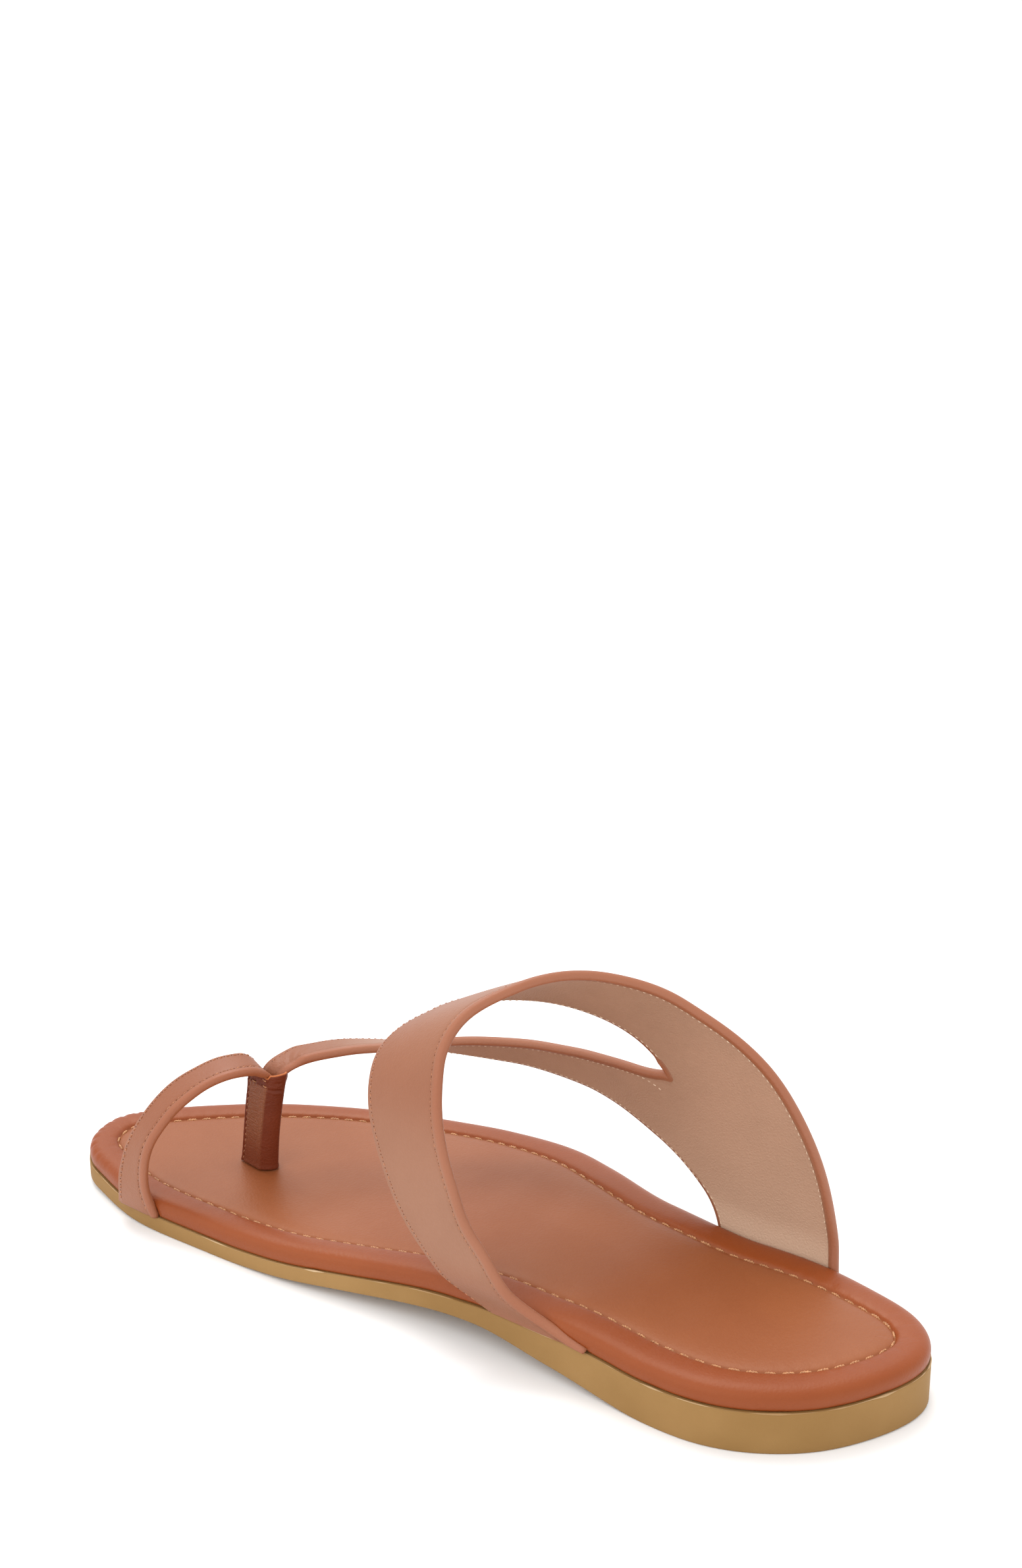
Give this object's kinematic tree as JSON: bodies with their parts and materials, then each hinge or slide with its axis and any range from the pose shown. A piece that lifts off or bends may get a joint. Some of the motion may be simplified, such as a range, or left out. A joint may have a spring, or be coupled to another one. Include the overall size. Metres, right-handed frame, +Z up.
{
  "type": "toe loop sandal",
  "caption": "Flat slide sandal for the right foot with a wide instep strap, a thin strap, a toe post and a big toe loop on a padded footbed.",
  "frame": {"origin": "centre of the sandal's bounding box, at the floor under the outsole", "axes": "+Y from the heel to the toe, +X to the outer (lateral) side, +Z up"},
  "size_m": [0.0856, 0.243, 0.0882],
  "materials": {
    "outsole": "satin",
    "footbed": "satin",
    "upper": "satin",
    "toe_loop": "satin",
    "toe_post": "matte"
  },
  "bodies": {
    "root": {"outsole": "outsole", "footbed": "footbed", "upper": "upper", "toe_loop": "toe_loop", "toe_post": "toe_post"}
  },
  "joints": []
}
